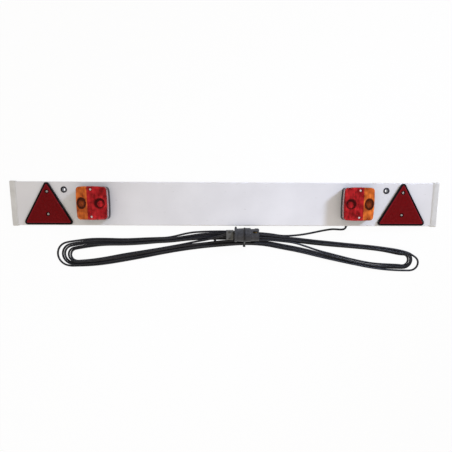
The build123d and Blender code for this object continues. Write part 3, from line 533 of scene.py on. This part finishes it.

# %% [markdown]
# ## Lamp lenses
# Each lens is a shell of clear coloured plastic, ribbed inside so that the bulbs spread their light. The
# glow of the ribs in daylight is painted light, uneven, and in front of each bulb a smooth bull's-eye lets
# the eye into the dark holder, whose shade is painted as a dark disc or ring. One map from 0 to 1 says how
# much painted glow a place gets: noise makes the ribs uneven, and the distance from the bull's-eye darkens
# its disc or ring. The map sets the colour, from deep to bright, and how much goes straight through. The
# lens sides are deeper, partly because they are seen through more plastic and partly as painted shade.

# %% Finish the lenses
def ribs(tree, place, kind, pitch):
    """Even ribs: BANDS run along Y, and RINGS run round the Z axis."""
    wave = tree.nodes.new("ShaderNodeTexWave")
    wave.wave_type = kind
    wave.bands_direction = "X"
    wave.rings_direction = "Z"
    wave.inputs["Scale"].default_value = 2 * math.pi / (20 * pitch)
    wave.inputs["Distortion"].default_value = 0.4
    tree.links.new(place, wave.inputs["Vector"])
    return wave.outputs["Fac"]


lens_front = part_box("lamp_red_lens_right")[1][2]
eye_reach = 0.020
heart_shift = 0.0025


def below_front(tree, place, start, end):
    """0 down to the first depth behind the front of the lens, 1 from the second depth on."""
    node = tree.nodes.new("ShaderNodeMapRange")
    node.inputs["From Min"].default_value = lens_front - start
    node.inputs["From Max"].default_value = lens_front - end
    tree.links.new(mirrored(tree, place, 0.0, 0.0)[2], node.inputs["Value"])
    return node.outputs["Result"]


def bulls_eye(tree, across, up, tall, stops):
    """Painted glow and shade round an axis: grey stops over the distance from it, which tall stretches
    upwards.
    """
    side = reckon(tree, "MULTIPLY", across, across)
    rise = reckon(tree, "DIVIDE", up, tall)
    distance = reckon(tree, "SQRT", reckon(tree, "ADD", side, reckon(tree, "MULTIPLY", rise, rise)))
    return colours(tree, reckon(tree, "DIVIDE", distance, eye_reach), [(at, (g, g, g)) for at, g in stops])


def lens_plastic(name, shades, pitch, eye, tall, stops, clear, heart=None):
    """Ribbed coloured plastic with painted glow and shade round a bull's-eye; clear is the share let
    through where the painted glow is least and where it is most, and heart the painted glow in the
    bull's-eye, a little lower and further in."""
    finish, tree, shader, place = new_finish(name)
    across, up, height = mirrored(tree, place, *eye)
    streaks = noise(tree, stretched(tree, place, (1.0, 0.25, 0.25)), 0.006, 1.0)
    patches = noise(tree, place, 0.018, 1.0)
    uneven = reckon(tree, "ADD", streaks, reckon(tree, "MULTIPLY", patches, 2.0))
    uneven = spread(tree, reckon(tree, "SUBTRACT", uneven, 1.0), 0.35, 1.0)
    # Lens sides are deeper, partly because they are seen through more plastic and partly as painted shade.
    side_depth_and_shade = spread(tree, below_front(tree, place, 0.0015, 0.0040), 1.0, 0.2)
    eye_glow = bulls_eye(tree, across, up, tall, stops)
    if heart:
        further_in = reckon(tree, "ADD", across, heart_shift)
        lower = reckon(tree, "ADD", up, heart_shift)
        eye_glow = reckon(tree, "MAXIMUM", eye_glow, bulls_eye(tree, further_in, lower, tall, heart))
    # Painted light: this glow map sets the lens colour from deep to bright.
    glow = reckon(tree, "MULTIPLY", reckon(tree, "MULTIPLY", uneven, eye_glow), side_depth_and_shade)
    tree.links.new(colours(tree, glow, shades), shader.inputs["Base Color"])
    tree.links.new(spread(tree, glow, *clear), shader.inputs["Transmission Weight"])
    tree.links.new(spread(tree, streaks, 0.05, 0.14), shader.inputs["Roughness"])
    shader.inputs["IOR"].default_value = 1.49
    from_eye = tree.nodes.new("ShaderNodeCombineXYZ")
    for socket, value in zip(from_eye.inputs, (across, up, height)):
        tree.links.new(value, socket)
    moulded = reckon(tree, "ADD", ribs(tree, place, "BANDS", pitch),
                     ribs(tree, from_eye.outputs[0], "RINGS", pitch))
    inside = below_front(tree, place, 0.0012, 0.0024)
    press_in(tree, shader, reckon(tree, "MULTIPLY", moulded, inside), 0.0003, 0.4)
    return finish


rib_pitch = 0.006
red_eye_in = 0.004
# Painted light and shade round the red bull's-eye: a dark disc with a bright heart, bright beyond.
ring_glow = [(0.0, 0.05), (0.72, 0.08), (0.90, 1.0)]
ring_heart = [(0.0, 1.0), (0.42, 0.9), (0.60, 0.0)]
red_shades = [(0.0, (0.16, 0.004, 0.005)), (0.3, (0.48, 0.010, 0.014)), (1.0, (0.96, 0.036, 0.044))]
red_eye = middle_of("lamp_stop_bulb_right")
lens_red = lens_plastic("lens_red", red_shades, rib_pitch, (red_eye[0] - red_eye_in, red_eye[1]), 1.0,
                        ring_glow, (0.85, 0.45), ring_heart)
paint(lens_red, *both_sides("lamp_red_lens"))
# Painted light and shade round the amber bull's-eye: a dark ring round a dim centre, bright beyond.
disc_glow = [(0.0, 0.50), (0.38, 0.34), (0.56, 0.08), (0.66, 0.08), (0.80, 1.0)]
amber_shades = [(0.0, (0.14, 0.022, 0.006)), (0.3, (0.60, 0.105, 0.020)), (1.0, (1.0, 0.255, 0.040))]
amber_eye = middle_of("lamp_amber_lens_right")
lens_amber = lens_plastic("lens_amber", amber_shades, rib_pitch, amber_eye[:2], 1.25, disc_glow,
                          (0.85, 0.20))
paint(lens_amber, *both_sides("lamp_amber_lens"))
even_glow = [(0.0, 1.0), (1.0, 1.0)]
# The clear window gets a painted pinkish glow.
window_glow_shades = [(0.0, (0.85, 0.55, 0.58)), (1.0, (1.0, 0.74, 0.78))]
window_clear = lens_plastic("window_clear", window_glow_shades, rib_pitch / 2, red_eye[:2], 1.0, even_glow,
                            (0.5, 0.3))
paint(window_clear, *both_sides("lamp_plate_window"))

# %% [markdown]
# ## Bulbs
# Each lamp has two bayonet bulbs. The ready-made bulb is one plain solid, so it is replaced by a thin
# glass envelope and a metal cap with its two pins, solder button, glass stem posts and filament. Both
# are round about one axis, which makes the spin operator the natural tool: a profile is drawn with a few
# vertices and spun once round.

# %% Shapes spun about an axis
def spun(profile, steps):
    """Mesh of a profile of (radius, height) points, spun once about Z."""
    shape = bmesh.new()
    points = [shape.verts.new((radius, 0.0, height)) for radius, height in profile]
    edges = [shape.edges.new(pair) for pair in zip(points, points[1:])]
    bmesh.ops.spin(shape, geom=points + edges, axis=(0, 0, 1), cent=(0, 0, 0), angle=2 * math.pi,
                   steps=steps, use_merge=True)
    bmesh.ops.remove_doubles(shape, verts=shape.verts, dist=1e-6)
    bmesh.ops.recalc_face_normals(shape, faces=shape.faces)
    return shape


def add_piece(name, shape, place, finish):
    """Object made of a bmesh that is moved to its place, smooth and riding on the board."""
    bmesh.ops.translate(shape, verts=shape.verts, vec=place)
    mesh = bpy.data.meshes.new(name)
    shape.to_mesh(mesh)
    shape.free()
    for face in mesh.polygons:
        face.use_smooth = True
    mesh.materials.append(finish)
    piece = bpy.data.objects.new(name, mesh)
    bpy.context.scene.collection.objects.link(piece)
    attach(piece, "root")
    return piece


print("helpers for spun shapes ready")

# %% [markdown]
# ## Bulb glass
# The glass is clear, with a thin film inside that is thicker in some places than in others. A noise
# between two tints gives that film. Indicator bulbs get a darker, browner glass.

# %% Finish the bulb glass
def bulb_finish(name, smoked, clean):
    """Bulb glass with a film that is thicker in some places than in others."""
    finish, tree, shader, place = new_finish(name)
    film = noise(tree, place, 0.01, 3.0)
    tree.links.new(colours(tree, film, [(0.3, smoked), (0.7, clean)]), shader.inputs["Base Color"])
    tree.links.new(spread(tree, film, 0.01, 0.05), shader.inputs["Roughness"])
    shader.inputs["Transmission Weight"].default_value = 1.0
    shader.inputs["IOR"].default_value = 1.47
    press_in(tree, shader, film, 0.0002, 0.2)
    return finish


clear_glass = bulb_finish("bulb_glass", (0.66, 0.64, 0.62), (0.88, 0.87, 0.85))
# Indicator bulbs get a darker, browner glass.
darker_glass = bulb_finish("bulb_glass_darker", (0.28, 0.25, 0.22), (0.50, 0.46, 0.42))
print("bulb glass ready")

# %% [markdown]
# ## Glass and cap of each bulb
# The profile of the glass goes up its outside and back down its inside, so that it has a real wall and
# bends light as glass does. The cap is one more spun profile, and its pins, posts and filament are rods.
# Every bulb takes its place from the box of the plain solid that it replaces.

# %% Make the bulbs
spin_steps = 32
arc_steps = 14
glass_radius = 0.0115
glass_wall = 0.0007
neck_radius = 0.0065
cap_radius = 0.0075
cap_long = 0.017
pin_height = 0.007
post_apart = 0.003


def envelope_profile(radius, neck, low, middle):
    """Round glass that narrows to a neck, from the neck up to the pole."""
    lowest = math.asin(neck / radius) - math.pi
    arc = [lowest + (0 - lowest) * i / arc_steps for i in range(arc_steps + 1)]
    round_part = [(max(-radius * math.sin(a), 0.0), middle + radius * math.cos(a)) for a in arc]
    return [(neck, low)] + round_part


def add_rod(shape, radius, long, sides, matrix):
    """Round rod along the Z axis of its matrix."""
    bmesh.ops.create_cone(shape, cap_ends=True, segments=sides, radius1=radius, radius2=radius, depth=long,
                          matrix=matrix)


def bulb_cap_shape(middle, low):
    """Metal cap with rolled edge, solder button, bayonet pins, and the posts and filament inside."""
    top = low + cap_long
    mouth = neck_radius - 0.0010
    shape = spun([(0.0, low), (0.0030, low + 0.0002), (0.0034, low + 0.0012),
                  (cap_radius - 0.0012, low + 0.0014), (cap_radius, low + 0.0028),
                  (cap_radius, top - 0.0010), (cap_radius - 0.0006, top), (mouth, top),
                  (mouth, top - 0.0015), (0.0, top - 0.0015)], spin_steps)
    for side in (-1, 1):
        pin = Matrix.Translation((0, side * cap_radius, low + pin_height))
        add_rod(shape, 0.0009, 0.0018, 10, pin @ Matrix.Rotation(math.pi / 2, 4, "X"))
        post = Matrix.Translation((side * post_apart, 0, (top - 0.002 + middle) / 2))
        add_rod(shape, 0.0004, middle - top + 0.004, 8, post)
    filament = Matrix.Translation((0, 0, middle))
    add_rod(shape, 0.0005, 0.006, 8, filament @ Matrix.Rotation(math.pi / 2, 4, "Y"))
    return shape


for name in both_sides("lamp_indicator_bulb", "lamp_stop_bulb"):
    low_corner, high_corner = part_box(name)
    axis = ((low_corner[0] + high_corner[0]) / 2, (low_corner[1] + high_corner[1]) / 2, 0.0)
    low, middle = low_corner[2], high_corner[2] - glass_radius
    outside = envelope_profile(glass_radius, neck_radius, low + cap_long, middle)
    inside = envelope_profile(glass_radius - glass_wall, neck_radius - glass_wall, low + cap_long, middle)
    glass_finish = darker_glass if "indicator" in name else clear_glass
    wall = spun(outside + inside[::-1] + outside[:1], spin_steps)
    glass = add_piece(name + "_glass", wall, axis, glass_finish)
    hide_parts(name)
    add_piece(name + "_cap", bulb_cap_shape(middle, low), axis, brass)
print("four bulbs, each of glass and cap")

# %% [markdown]
# ## White ground
# The photograph has a plain white ground. A pale floor under soft light would come out grey, so it has to
# know when it is looked at: by the camera, in a reflection or through glass. A Light Path node tells that.

# %% White to the eye
def seen_directly(tree):
    """1 for rays from the camera and for rays that come by reflection or through glass, else 0."""
    rays = tree.nodes.new("ShaderNodeLightPath")
    found = reckon(tree, "MAXIMUM", rays.outputs["Is Camera Ray"], rays.outputs["Is Glossy Ray"])
    return reckon(tree, "MAXIMUM", found, rays.outputs["Is Transmission Ray"])


print("helper for the white ground ready")

# %% [markdown]
# ## Floor
# The floor is one large sheet of paper, a hair below the lead so that the two never share a face. Where
# it is looked at, most of it shines plain white, and the rest is an ordinary surface with faint fibres,
# which still catches the shadow of the board and the lead.

# %% Lay the floor
white_share = 0.95
floor_size = 6.0
floor_drop = 0.0002

floor_paper, tree, shader, place = new_finish("floor_paper")
fibres = noise(tree, place, 0.004, 4.0)
tree.links.new(colours(tree, fibres, [(0.3, (0.86, 0.86, 0.86)), (0.7, (0.90, 0.90, 0.90))]),
               shader.inputs["Base Color"])
shader.inputs["Roughness"].default_value = 0.9
white_light = tree.nodes.new("ShaderNodeEmission")
blend = tree.nodes.new("ShaderNodeMixShader")
tree.links.new(reckon(tree, "MULTIPLY", seen_directly(tree), white_share), blend.inputs["Fac"])
tree.links.new(shader.outputs["BSDF"], blend.inputs[1])
tree.links.new(white_light.outputs["Emission"], blend.inputs[2])
tree.links.new(blend.outputs["Shader"], tree.nodes["Material Output"].inputs["Surface"])

sheet = bmesh.new()
lowered = Matrix.Translation((0, 0, -floor_drop))
bmesh.ops.create_grid(sheet, x_segments=1, y_segments=1, size=floor_size, matrix=lowered)
floor_mesh = bpy.data.meshes.new("floor")
sheet.to_mesh(floor_mesh)
sheet.free()
floor_mesh.materials.append(floor_paper)
floor = bpy.data.objects.new("floor", floor_mesh)
bpy.context.scene.collection.objects.link(floor)
print("floor laid")

# %% [markdown]
# ## Light
# The board lies in a room with soft warm light and a cooler window at its upper right. The world gives
# the even part, faintly warm. It is plain white to the camera, and darker overhead in reflections, so that
# the lenses are not veiled. One narrow bluish lamp stands for the window and a broad warm one fills in.

# %% Set the light
room_level = 0.68
overhead_gleam = 0.12
overhead_from = 0.6

world = bpy.data.worlds.new("daylight")
world.use_nodes = True
tree = world.node_tree
sky = tree.nodes["Background"]
direction = tree.nodes.new("ShaderNodeSeparateXYZ")
tree.links.new(tree.nodes.new("ShaderNodeTexCoord").outputs["Generated"], direction.inputs[0])
reflected = tree.nodes.new("ShaderNodeMapRange")
reflected.inputs["From Max"].default_value = overhead_from
reflected.inputs["To Min"].default_value = 1.0
reflected.inputs["To Max"].default_value = overhead_gleam
tree.links.new(direction.outputs["Z"], reflected.inputs["Value"])
rays = tree.nodes.new("ShaderNodeLightPath")
level = tree.nodes.new("ShaderNodeMapRange")
level.inputs["To Min"].default_value = room_level
tree.links.new(reflected.outputs["Result"], level.inputs["To Max"])
tree.links.new(rays.outputs["Is Glossy Ray"], level.inputs["Value"])
strength = tree.nodes.new("ShaderNodeMapRange")
strength.inputs["To Max"].default_value = 1.0
tree.links.new(level.outputs["Result"], strength.inputs["To Min"])
tree.links.new(rays.outputs["Is Camera Ray"], strength.inputs["Value"])
tree.links.new(strength.outputs["Result"], sky.inputs["Strength"])
tint = layered(tree, (1.0, 0.95, 0.90), (1.0, 1.0, 1.0), rays.outputs["Is Camera Ray"])
tree.links.new(tint, sky.inputs["Color"])
bpy.context.scene.world = world


def softbox(name, place, aim, size, beam, power, colour):
    """Square area lamp that looks from place to aim, with the angle of its beam in degrees."""
    lamp = bpy.data.lights.new(name, "AREA")
    lamp.size = size
    lamp.spread = math.radians(beam)
    lamp.energy = power
    lamp.color = colour
    holder = bpy.data.objects.new(name, lamp)
    holder.location = place
    holder.rotation_euler = (Vector(aim) - Vector(place)).to_track_quat("-Z", "Y").to_euler()
    bpy.context.scene.collection.objects.link(holder)
    print(name, power, "W")


softbox("window_light", (2.9, 2.0, 2.1), (0.25, -0.02, 0.0), 0.8, 21, 2.5, (0.65, 0.74, 1.0))
softbox("fill_light", (-0.4, -1.4, 2.2), (0.0, -0.05, 0.0), 1.6, 180, 8.0, (1.0, 0.84, 0.72))
bpy.context.scene.view_settings.view_transform = "Standard"

# %% [markdown]
# Last, the scene is brought up to date.

# %% Update the scene
bpy.context.view_layer.update()
